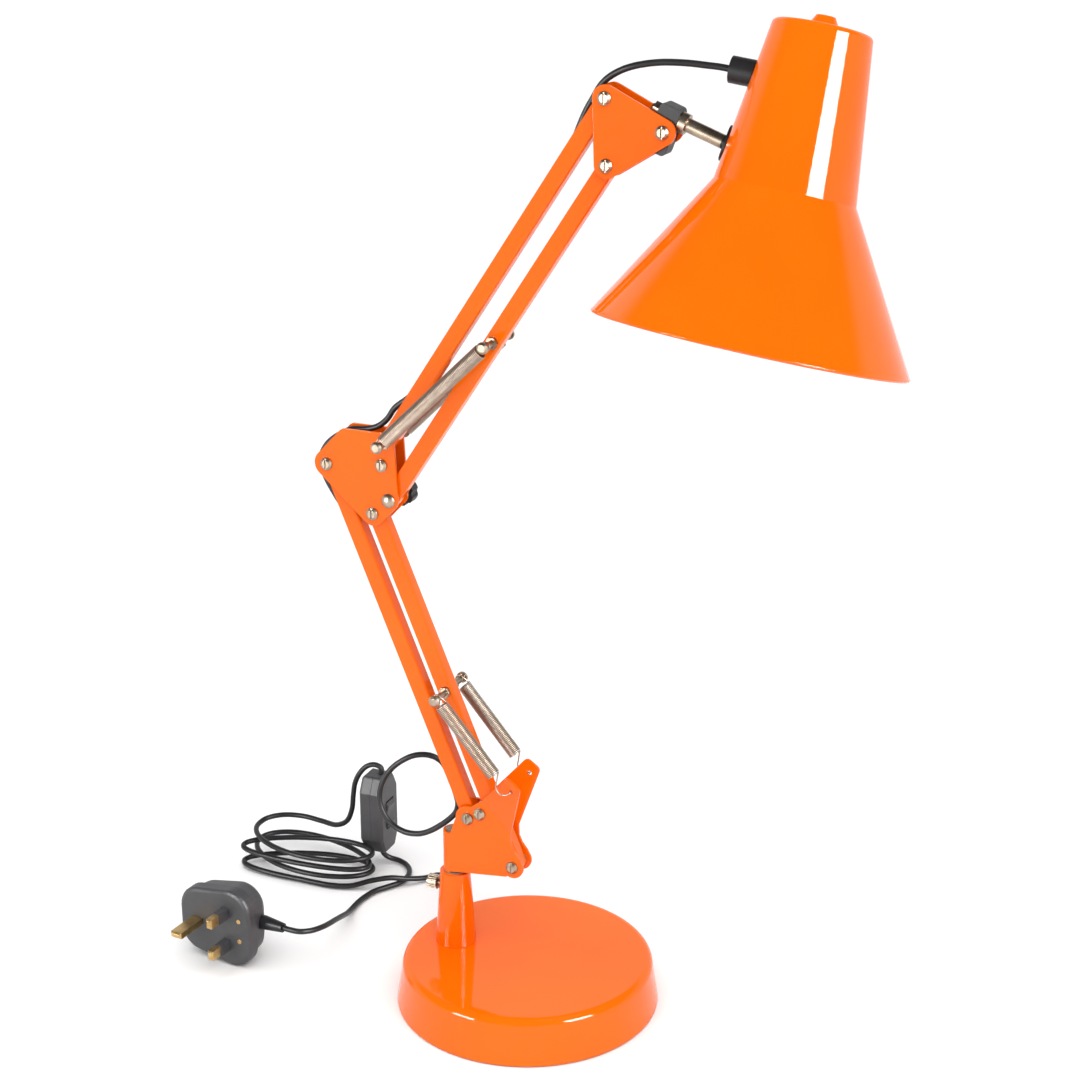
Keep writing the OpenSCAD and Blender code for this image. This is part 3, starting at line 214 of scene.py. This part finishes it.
# mains cord: the route of the source in metres, from the shade to the switch and on to the plug
cord = {"diameter": 0.0036, "sides": 12, "spacing": 0.0016, "tiltFrom": 0.0905, "inGrip": 0.0125}
cordRoute = {
    "shade": [(0.1105, 0.0084, 0.5632), (0.1045, 0.008, 0.5641), (0.098, 0.007, 0.5647),
              (0.091, 0.0056, 0.5654), (0.0837, 0.004, 0.5658), (0.075, 0.0025, 0.5657)],
    "headTop": [(0.067, 0.001, 0.5648), (0.0593, 0, 0.5631), (0.0524, 0, 0.5604), (0.0466, 0, 0.5569),
                (0.0421, 0, 0.5524)],
    "headBar": [(0.0387, 0, 0.5468), (0.0347, 0, 0.54), (0.0313, 0, 0.5326), (0.0279, 0, 0.5241),
                (0.0242, 0, 0.5158), (0.0189, 0, 0.5061), (0.0125, 0, 0.496)],
    "upperBar": [(-0.0617, 0, 0.3831)],
    "elbowTop": [(-0.0669, 0, 0.377), (-0.0742, 0, 0.371), (-0.0818, 0, 0.365), (-0.0868, 0, 0.358),
                 (-0.0928, 0, 0.353), (-0.101, 0, 0.3504), (-0.1101, 0, 0.3492)],
    "elbowSide": [(-0.1187, 0, 0.3448), (-0.1262, 0, 0.3386), (-0.1301, 0, 0.3316), (-0.1302, 0, 0.3242),
                  (-0.1274, 0, 0.317), (-0.1228, 0, 0.3093), (-0.1172, 0, 0.301), (-0.112, 0, 0.2934),
                  (-0.1071, 0, 0.2857), (-0.1037, 0, 0.2785)],
    "lowerBar": [(-0.0529, 0, 0.1545)],
    "loop": [(-0.0502, 0, 0.1458), (-0.0483, 0, 0.1369), (-0.0463, 0, 0.128), (-0.0456, 0, 0.1196),
             (-0.0474, 0, 0.1144), (-0.0514, 0, 0.1096), (-0.0576, 0, 0.104), (-0.0648, 0, 0.0988),
             (-0.0725, 0.0006, 0.0951), (-0.0824, 0.0015, 0.0939), (-0.0915, 0.0022, 0.097),
             (-0.0978, 0.003, 0.1036), (-0.1009, 0.0044, 0.112), (-0.0998, 0.006, 0.1215),
             (-0.095, 0.0078, 0.1306), (-0.088, 0.0096, 0.1373), (-0.0795, 0.0123, 0.1417),
             (-0.071, 0.0152, 0.1418), (-0.0653, 0.0186, 0.1375)],
    "drop": [(-0.0624, 0.0235, 0.1266), (-0.0614, 0.03, 0.1121), (-0.0628, 0.04, 0.0933),
             (-0.0677, 0.053, 0.0722), (-0.0762, 0.068, 0.051), (-0.0875, 0.084, 0.0305),
             (-0.099, 0.099, 0.013), (-0.1085, 0.1105, 0.0039), (-0.1146, 0.1118, 0.0023)],
    "bundle": [(-0.1194, 0.105, 0.0026), (-0.128, 0.0958, 0.0046), (-0.138, 0.0878, 0.0072),
               (-0.149, 0.0813, 0.006), (-0.161, 0.0752, 0.0028), (-0.174, 0.0717, 0.0022)],
    "lead": [(-0.1575, 0.1165, 0.012), (-0.1575, 0.1165, 0.0086), (-0.1541, 0.1187, 0.0044),
             (-0.148, 0.1205, 0.0026), (-0.1405, 0.1175, 0.0022), (-0.1345, 0.1105, 0.0022),
             (-0.132, 0.1015, 0.0022), (-0.1336, 0.0925, 0.002), (-0.1385, 0.0845, 0.002),
             (-0.1435, 0.0765, 0.002), (-0.146, 0.0675, 0.002), (-0.1468, 0.058, 0.0022),
             (-0.146, 0.048, 0.003), (-0.1436, 0.0375, 0.0058), (-0.1406, 0.027, 0.0102),
             (-0.1378, 0.0165, 0.0148), (-0.1356, 0.006, 0.0188), (-0.1344, -0.004, 0.0218),
             (-0.135, -0.0135, 0.0238), (-0.138, -0.0215, 0.025), (-0.143, -0.0266, 0.0258),
             (-0.1494, -0.0275, 0.026), (-0.1549, -0.0269, 0.026)],
}
# the bundle's fanned turns, which rise a little each time (angles in degrees), and the way up into the switch
hank = {"middle": (-0.200, 0.090), "long": 0.046, "wide": 0.019, "low": 0.0022, "climb": 0.006, "fan": 14,
        "hold": 0.025, "turns": 3.25, "startAngle": 270, "turnSteps": 24}
archOver = [(-0.243, 0.108, 0.0223), (-0.235, 0.1154, 0.0228), (-0.221, 0.1192, 0.0228),
            (-0.2055, 0.1176, 0.0228), (-0.1915, 0.1136, 0.0244), (-0.182, 0.1116, 0.0305),
            (-0.178, 0.1118, 0.0405), (-0.1768, 0.112, 0.051), (-0.1754, 0.1125, 0.06),
            (-0.172, 0.1133, 0.0676), (-0.1672, 0.1148, 0.073), (-0.1618, 0.116, 0.0746),
            (-0.1571, 0.1165, 0.0726), (-0.1575, 0.1165, 0.068)]


def hankPoint(turn):
    angle = math.radians(hank["startAngle"] - 360 * turn)
    fan = math.radians(hank["fan"] * math.sin(math.pi * turn))
    x, y = hank["long"] * math.cos(angle) - hank["hold"], hank["wide"] * math.sin(angle)
    return (hank["middle"][0] + hank["hold"] + x * math.cos(fan) - y * math.sin(fan),
            hank["middle"][1] + x * math.sin(fan) + y * math.cos(fan), hank["low"] + hank["climb"] * turn)


hankSteps = int(hank["turnSteps"] * hank["turns"])
cordRoute["bundle"] += [hankPoint(step / hank["turnSteps"]) for step in range(hankSteps + 1)] + archOver


# a smooth curve through the points, and where on it each point is
def roundPath(points, spacing):
    points = [Vector(p) for p in points]
    lead = [points[0] * 2 - points[1]] + points + [points[-1] * 2 - points[-2]]
    path, cuts = [], []
    for i in range(1, len(lead) - 2):
        a, b, c, d = lead[i - 1:i + 3]
        t0 = 0.0
        t1 = t0 + math.sqrt((b - a).length)
        t2 = t1 + math.sqrt((c - b).length)
        t3 = t2 + math.sqrt((d - c).length)
        steps = max(1, math.ceil((c - b).length / spacing))
        cuts.append(len(path))
        for k in range(steps):
            t = t1 + (t2 - t1) * k / steps
            ab = a.lerp(b, (t - t0) / (t1 - t0))
            bc = b.lerp(c, (t - t1) / (t2 - t1))
            cd = c.lerp(d, (t - t2) / (t3 - t2))
            left = ab.lerp(bc, (t - t0) / (t2 - t0))
            right = bc.lerp(cd, (t - t1) / (t3 - t1))
            path.append(left.lerp(right, (t - t1) / (t2 - t1)))
    cuts.append(len(path))
    path.append(points[-1])
    return path, cuts


def pathLength(path):
    return sum((b - a).length for a, b in zip(path, path[1:]))


def sweepTube(name, path, diameter, sides):
    shape = bpy.data.curves.new(name, "CURVE")
    shape.dimensions = "3D"
    shape.twist_mode = "MINIMUM"
    shape.bevel_depth = diameter / 2
    shape.bevel_resolution = max(0, (sides - 4) // 2)
    shape.use_fill_caps = True
    line = shape.splines.new("POLY")
    line.points.add(len(path) - 1)
    for point, place in zip(line.points, path):
        point.co = (*place, 1)
    tube = bpy.data.objects.new(name, shape)
    bpy.context.scene.collection.objects.link(tube)
    pickUp(tube)
    bpy.ops.object.convert(target="MESH")
    tube = bpy.context.view_layer.objects.active
    bpy.ops.object.shade_smooth()
    return tube


lampOrder = ["shade", "headTop", "headBar", "upperBar", "elbowTop", "elbowSide", "lowerBar",
             "loop", "drop", "bundle"]
lampPoints = [p for part in lampOrder for p in cordRoute[part]]
lampPath, lampCuts = roundPath(lampPoints, cord["spacing"])
cordPaths, reached = {}, 0
for part in lampOrder:  # each stretch starts where the last one ended
    first = max(0, reached - 1)
    reached += len(cordRoute[part])
    cordPaths[part] = lampPath[lampCuts[first]:lampCuts[reached - 1] + 1]
overHead = cordPaths["shade"] + cordPaths["headTop"][1:]  # the shade's and the head's stretches, joined to be cut again at a seam
seam = next(i for i, place in enumerate(overHead) if place.x < cord["tiltFrom"])
gripMouth = overHead[0]
intoGrip = (overHead[0] - overHead[1]).normalized() * cord["inGrip"]
cordPaths["shade"], cordPaths["headTop"] = [gripMouth + intoGrip] + overHead[:seam + 1], overHead[seam:]
cordPaths["lead"], _ = roundPath(cordRoute["lead"], cord["spacing"])

# which bodies a stretch runs between, and the solid it stands for
cordJobs = {
    "shade": ("shade", "knuckle", "cord_shade"),
    "headTop": ("knuckle", "head", "cord_head"),
    "headBar": ("head", "rear_upper", "cord_head"),
    "upperBar": ("rear_upper", None, "cord_upper"),
    "elbowTop": ("rear_upper", "elbow", "cord_elbow_top"),
    "elbowSide": ("elbow", "rear_lower", "cord_elbow_side"),
    "lowerBar": ("rear_lower", None, "cord_lower"),
    "loop": ("rear_lower", "turret", "cord_loop"),
    "drop": ("turret", "base", "cord_drop"),
    "bundle": ("base", None, "cord_bundle"),
    "lead": ("base", None, "cord_plug_lead"),
}
for part, (firstBody, secondBody, standsFor) in cordJobs.items():
    path = cordPaths[part]
    tube = sweepTube("cord" + part[0].upper() + part[1:], path, cord["diameter"], cord["sides"])
    dress(tube, "black_cord")
    if secondBody:
        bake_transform(tube)
    else:
        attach(tube, firstBody)
    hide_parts(standsFor)
# the stretches outside the bars are free cord, and what is on their far ends
freeEnds = {"shade": "object", "headTop": "object", "headBar": "object", "elbowTop": "object",
            "elbowSide": "object", "loop": "object", "drop": "object", "bundle": "fitting", "lead": "plug"}
for part, farEnd in freeEnds.items():
    path = cordPaths[part]
print("cord stretches:", {part: round(pathLength(path), 3) for part, path in cordPaths.items()})

# springs, close wound as in the photograph; eye angles in degrees
springs = {"outer": 0.0086, "wire": 0.0009, "sides": 6, "pitch": 0.00098, "neck": 0.0046, "steps": 14,
           "eye": 0.0026, "eyeAngles": range(300, 89, -15), "eyeTail": 0.0009,
           "hookNeck": 0.001, "hookSpacing": 0.0007}
# places as (x, z); at each mark, in metres from the first place, a spring follows the second body by its share
springEnds = {
    "lower": {"from": (-0.05064, 0.19540), "to": (-0.0139, 0.152), "side": 0.016, "hook": True,
              "bodies": ("front_lower", "turret"),
              "marks": (0.0026, 0.012, 0.028, 0.044, 0.0558), "shares": (0, 0.13, 0.35, 0.57, 1)},
    "upper": {"from": (-0.08497, 0.34580), "to": (-0.01844, 0.41036), "side": 0.0145, "hook": False,
              "bodies": ("elbow", "front_upper"),
              "marks": (0.0026, 0.010, 0.026, 0.054, 0.090), "shares": (0, 0.45, 0.68, 0.90, 1)},
}
# the lower springs' far end, round under the ear and through its hole from outside: (x, reach to the side, z)
earHook = [(-0.0128, 0.0164, 0.1484), (-0.0132, 0.0164, 0.1452), (-0.0116, 0.0164, 0.142),
           (-0.0086, 0.0164, 0.141), (-0.0058, 0.0164, 0.1419), (-0.00468, 0.0158, 0.14259),
           (-0.00374, 0.0116, 0.14348)]


def springLine(ends, side):
    start = Vector((ends["from"][0], side, ends["from"][1]))
    end = Vector((ends["to"][0], side, ends["to"][1]))
    return start, (end - start).normalized(), (end - start).length


def springPath(ends, side):
    start, along, span = springLine(ends, side)
    square = Vector((-along.z, 0, along.x))
    coil = (springs["outer"] - springs["wire"]) / 2
    neck, steps = springs["neck"], springs["steps"]
    stop = span - (springs["hookNeck"] if ends["hook"] else neck)
    turns = round((stop - neck) / springs["pitch"])
    eyeAngles = [math.radians(a) for a in springs["eyeAngles"]]
    eye = [(springs["eye"] * math.cos(a), springs["eye"] * math.sin(a), 0) for a in eyeAngles]
    eye.insert(0, (eye[0][0] + springs["eyeTail"], eye[0][1], 0))
    flat = list(eye)
    for i in range(turns * steps + 1):
        angle = 2 * math.pi * i / steps
        far = neck + (stop - neck) * i / (turns * steps)
        flat.append((far, coil * math.cos(angle), coil * math.sin(angle)))
    if not ends["hook"]:
        flat += [(span - x, y, -z) for x, y, z in reversed(eye)]
    path = [start + along * x + square * y + Vector((0, z, 0)) for x, y, z in flat]
    if ends["hook"]:
        turnedHook = [(x, math.copysign(reach, side), z) for x, reach, z in earHook]
        bend, _ = roundPath([path[-1]] + turnedHook, springs["hookSpacing"])
        path += bend[1:]
    return path


def rampPlace(share):  # where a soft ramp from 0 to 1 reaches this share
    return 0.5 - math.sin(math.asin(1 - 2 * share) / 3)


# each spring is wound in four lengths, cut at its marks
for arm, ends in springEnds.items():
    marks, shares = ends["marks"], ends["shares"]
    for label, side in (("Near", -ends["side"]), ("Far", ends["side"])):
        path = springPath(ends, side)
        start, along, _ = springLine(ends, side)
        reach = [(place - start).dot(along) for place in path]
        cuts = [next(i for i, far in enumerate(reach) if far >= mark) for mark in marks[1:-1]]
        cuts = [0] + cuts + [len(path) - 1]
        for i in range(len(marks) - 1):
            low, high = rampPlace(shares[i]), rampPlace(shares[i + 1])
            ramp = (marks[i + 1] - marks[i]) / (high - low)
            first = marks[i] - low * ramp
            coilPath = path[cuts[i]:cuts[i + 1] + 1]
            coilName = arm + "Spring" + label + str(i + 1)
            coilPiece = sweepTube(coilName, coilPath, springs["wire"], springs["sides"])
            dress(coilPiece, "spring_steel")
            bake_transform(coilPiece)
            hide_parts(arm + "_spring_" + label.lower())
print("springs wound")

# white lining of the shade: two open cones just inside the spun wall, holed for the stem and the cord grip
# a cone is its radius below and above, and its lowest and highest place on the shade's axis; angles in degrees
lining = {"middle": (0.14576, 0, 0.51364), "stemSlope": 21.1, "lean": 8.2, "turn": -14, "thick": 0.0003,
          "flare": (0.08295, 0.03595, -0.0887, -0.010), "crown": (0.03595, 0.0250, -0.010, 0.070),
          "sides": 128, "merge": 0.00005, "smooth": 20, "gripUp": 0.045,
          "hole": {"radius": 0.0046, "long": 0.05, "out": 0.03, "sides": 48}}
slope = math.radians(lining["stemSlope"])
shadeTurn = (Matrix.Rotation(math.pi / 2 + slope, 3, "Y")
             @ Matrix.Rotation(math.radians(lining["turn"]), 3, "Z")
             @ Matrix.Rotation(math.radians(lining["lean"]) - math.pi / 2 - slope, 3, "Y"))
shadeMiddle = Vector(lining["middle"])
coneParts = []
for part in ("flare", "crown"):
    wide, narrow, low, high = lining[part]
    clearSelection()
    bpy.ops.mesh.primitive_cone_add(vertices=lining["sides"], radius1=wide, radius2=narrow, depth=high - low,
                                    end_fill_type="NOTHING", location=(0, 0, (low + high) / 2))
    coneParts.append(bpy.context.view_layer.objects.active)
clearSelection()
for part in coneParts:
    part.select_set(True)
bpy.context.view_layer.objects.active = coneParts[0]
bpy.ops.object.join()
shadeLining = bpy.context.view_layer.objects.active
shadeLining.name = "shadeLining"
bpy.ops.object.transform_apply(location=True, rotation=True, scale=True)
bpy.ops.object.mode_set(mode="EDIT")
bpy.ops.mesh.select_all(action="SELECT")
bpy.ops.mesh.remove_doubles(threshold=lining["merge"])
bpy.ops.mesh.normals_make_consistent(inside=False)
bpy.ops.object.mode_set(mode="OBJECT")
skin = shadeLining.modifiers.new("skin", "SOLIDIFY")
skin.thickness = lining["thick"]
skin.offset = -1
applyAll(shadeLining)
shadeLining.rotation_euler = shadeTurn.to_euler()
shadeLining.location = shadeMiddle
settle(shadeLining)
stemWay = Vector((-math.cos(slope), 0, math.sin(slope)))
gripWay = shadeTurn @ Vector((-1, 0, 0))
gripStart = shadeMiddle + shadeTurn @ Vector((0, 0, lining["gripUp"]))
bore = lining["hole"]
for start, way in ((shadeMiddle, stemWay), (gripStart, gripWay)):
    clearSelection()
    bpy.ops.mesh.primitive_cylinder_add(vertices=bore["sides"], radius=bore["radius"], depth=bore["long"],
                                        location=start + way * bore["out"])
    drill = bpy.context.view_layer.objects.active
    drill.rotation_euler = way.to_track_quat("Z", "Y").to_euler()
    settle(drill)
    hole = shadeLining.modifiers.new("hole", "BOOLEAN")
    hole.operation = "DIFFERENCE"
    hole.solver = "EXACT"
    hole.object = drill
    applyAll(shadeLining)
    pickUp(drill)
    bpy.ops.object.delete()
pickUp(shadeLining)
bpy.ops.object.shade_smooth_by_angle(angle=math.radians(lining["smooth"]))
dress(shadeLining, "white_enamel")
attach(shadeLining, "shade")
print("lining faces:", len(shadeLining.data.polygons))

# floor
floorLook = {"size": 40.0, "drop": 0.0004, "tint": (0.95, 0.95, 0.95), "rough": 0.9}
bpy.context.scene.view_settings.view_transform = "Standard"  # the paint is brighter than a film curve keeps
clearSelection()
bpy.ops.mesh.primitive_plane_add(size=floorLook["size"], location=(0, 0, -floorLook["drop"]))
floor = bpy.context.view_layer.objects.active
floor.name = "studioFloor"
paleFloor = bpy.data.materials.new("paleFloor")
paleFloor.use_nodes = True
floorShader = paleFloor.node_tree.nodes["Principled BSDF"]
floorShader.inputs["Base Color"].default_value = (*floorLook["tint"], 1)
floorShader.inputs["Roughness"].default_value = floorLook["rough"]
floor.data.materials.append(paleFloor)

# white walls low down and behind the lamp, a dim ceiling and front; bright and dim are (height, strength)
skyLook = {"backWay": (-0.39, 0.92, 0), "backLift": 0.45, "bright": (0.18, 1.0), "dim": (0.42, 0.08)}
sky = bpy.data.worlds.new("studioSky")
sky.use_nodes = True
skyTree = sky.node_tree
background = skyTree.nodes["Background"]
background.inputs["Color"].default_value = (1, 1, 1, 1)
wayIn = skyTree.nodes.new("ShaderNodeTexCoord")
heightOf = skyTree.nodes.new("ShaderNodeSeparateXYZ")
skyTree.links.new(wayIn.outputs["Generated"], heightOf.inputs["Vector"])
towardsBack = skyTree.nodes.new("ShaderNodeVectorMath")
towardsBack.operation = "DOT_PRODUCT"
towardsBack.inputs[1].default_value = skyLook["backWay"]
skyTree.links.new(wayIn.outputs["Generated"], towardsBack.inputs[0])
backOnly = skyTree.nodes.new("ShaderNodeMath")
backOnly.operation = "MAXIMUM"
backOnly.inputs[1].default_value = 0.0
skyTree.links.new(towardsBack.outputs["Value"], backOnly.inputs[0])
lowered = skyTree.nodes.new("ShaderNodeMath")
lowered.operation = "MULTIPLY_ADD"
lowered.inputs[1].default_value = -skyLook["backLift"]
skyTree.links.new(backOnly.outputs["Value"], lowered.inputs[0])
skyTree.links.new(heightOf.outputs["Z"], lowered.inputs[2])
wall = skyTree.nodes.new("ShaderNodeMapRange")
wall.interpolation_type = "SMOOTHSTEP"
wall.inputs["From Min"].default_value, wall.inputs["To Min"].default_value = skyLook["bright"]
wall.inputs["From Max"].default_value, wall.inputs["To Max"].default_value = skyLook["dim"]
skyTree.links.new(lowered.outputs["Value"], wall.inputs["Value"])
skyTree.links.new(wall.outputs["Result"], background.inputs["Strength"])
bpy.context.scene.world = sky

# the windows leave the flat bars alone, which would flash white all along as one walks round the lamp
flatBars = bpy.data.collections.new("flatBars")
for name in ("lower_rear_bar", "lower_front_bar", "upper_rear_bar", "upper_front_bar"):
    flatBars.objects.link(nodes[name])
for bar in flatBars.collection_objects:
    bar.light_linking.link_state = "EXCLUDE"

# two soft lights that gloss doesn't reflect, and two windows that only gloss reflects
studioLamps = {
    "keyLight": {"place": (0.9, -1.1, 1.5), "aim": (0, 0, 0.25), "size": (1.4, 1.4), "power": 8.0,
                 "lights": "surface"},
    "fillLight": {"place": (-1.3, -0.6, 1.0), "aim": (0, 0, 0.3), "size": (1.2, 1.2), "power": 3.0,
                  "lights": "surface"},
    "windowRight": {"place": (1.5, -0.57, 0.97), "aim": (0.167, -0.02, 0.546), "size": (0.72, 0.75),
                    "power": 78.0, "lights": "gloss"},
    "windowLeft": {"place": (-0.78, -1.20, 0.48), "aim": (0, 0, 0.02), "size": (0.5, 0.4), "power": 26.0,
                   "lights": "gloss"},
}
for name, job in studioLamps.items():
    lampData = bpy.data.lights.new(name, "AREA")
    lampData.energy = job["power"]
    lampData.shape = "RECTANGLE"
    lampData.size, lampData.size_y = job["size"]
    lamp = bpy.data.objects.new(name, lampData)
    lamp.location = job["place"]
    lamp.rotation_euler = (Vector(job["aim"]) - Vector(job["place"])).to_track_quat("-Z", "Y").to_euler()
    lamp.visible_diffuse = job["lights"] == "surface"
    lamp.visible_glossy = job["lights"] == "gloss"
    if job["lights"] == "gloss":
        lamp.light_linking.receiver_collection = flatBars
    bpy.context.scene.collection.objects.link(lamp)
ceiling = {"power": 2.85, "angle": 1.4, "tilt": (0.25, 0.12, 0)}
sunData = bpy.data.lights.new("ceilingLight", "SUN")
sunData.energy = ceiling["power"]
sunData.angle = ceiling["angle"]
sun = bpy.data.objects.new("ceilingLight", sunData)
sun.rotation_euler = ceiling["tilt"]
sun.visible_glossy = False
bpy.context.scene.collection.objects.link(sun)
print("studio set")
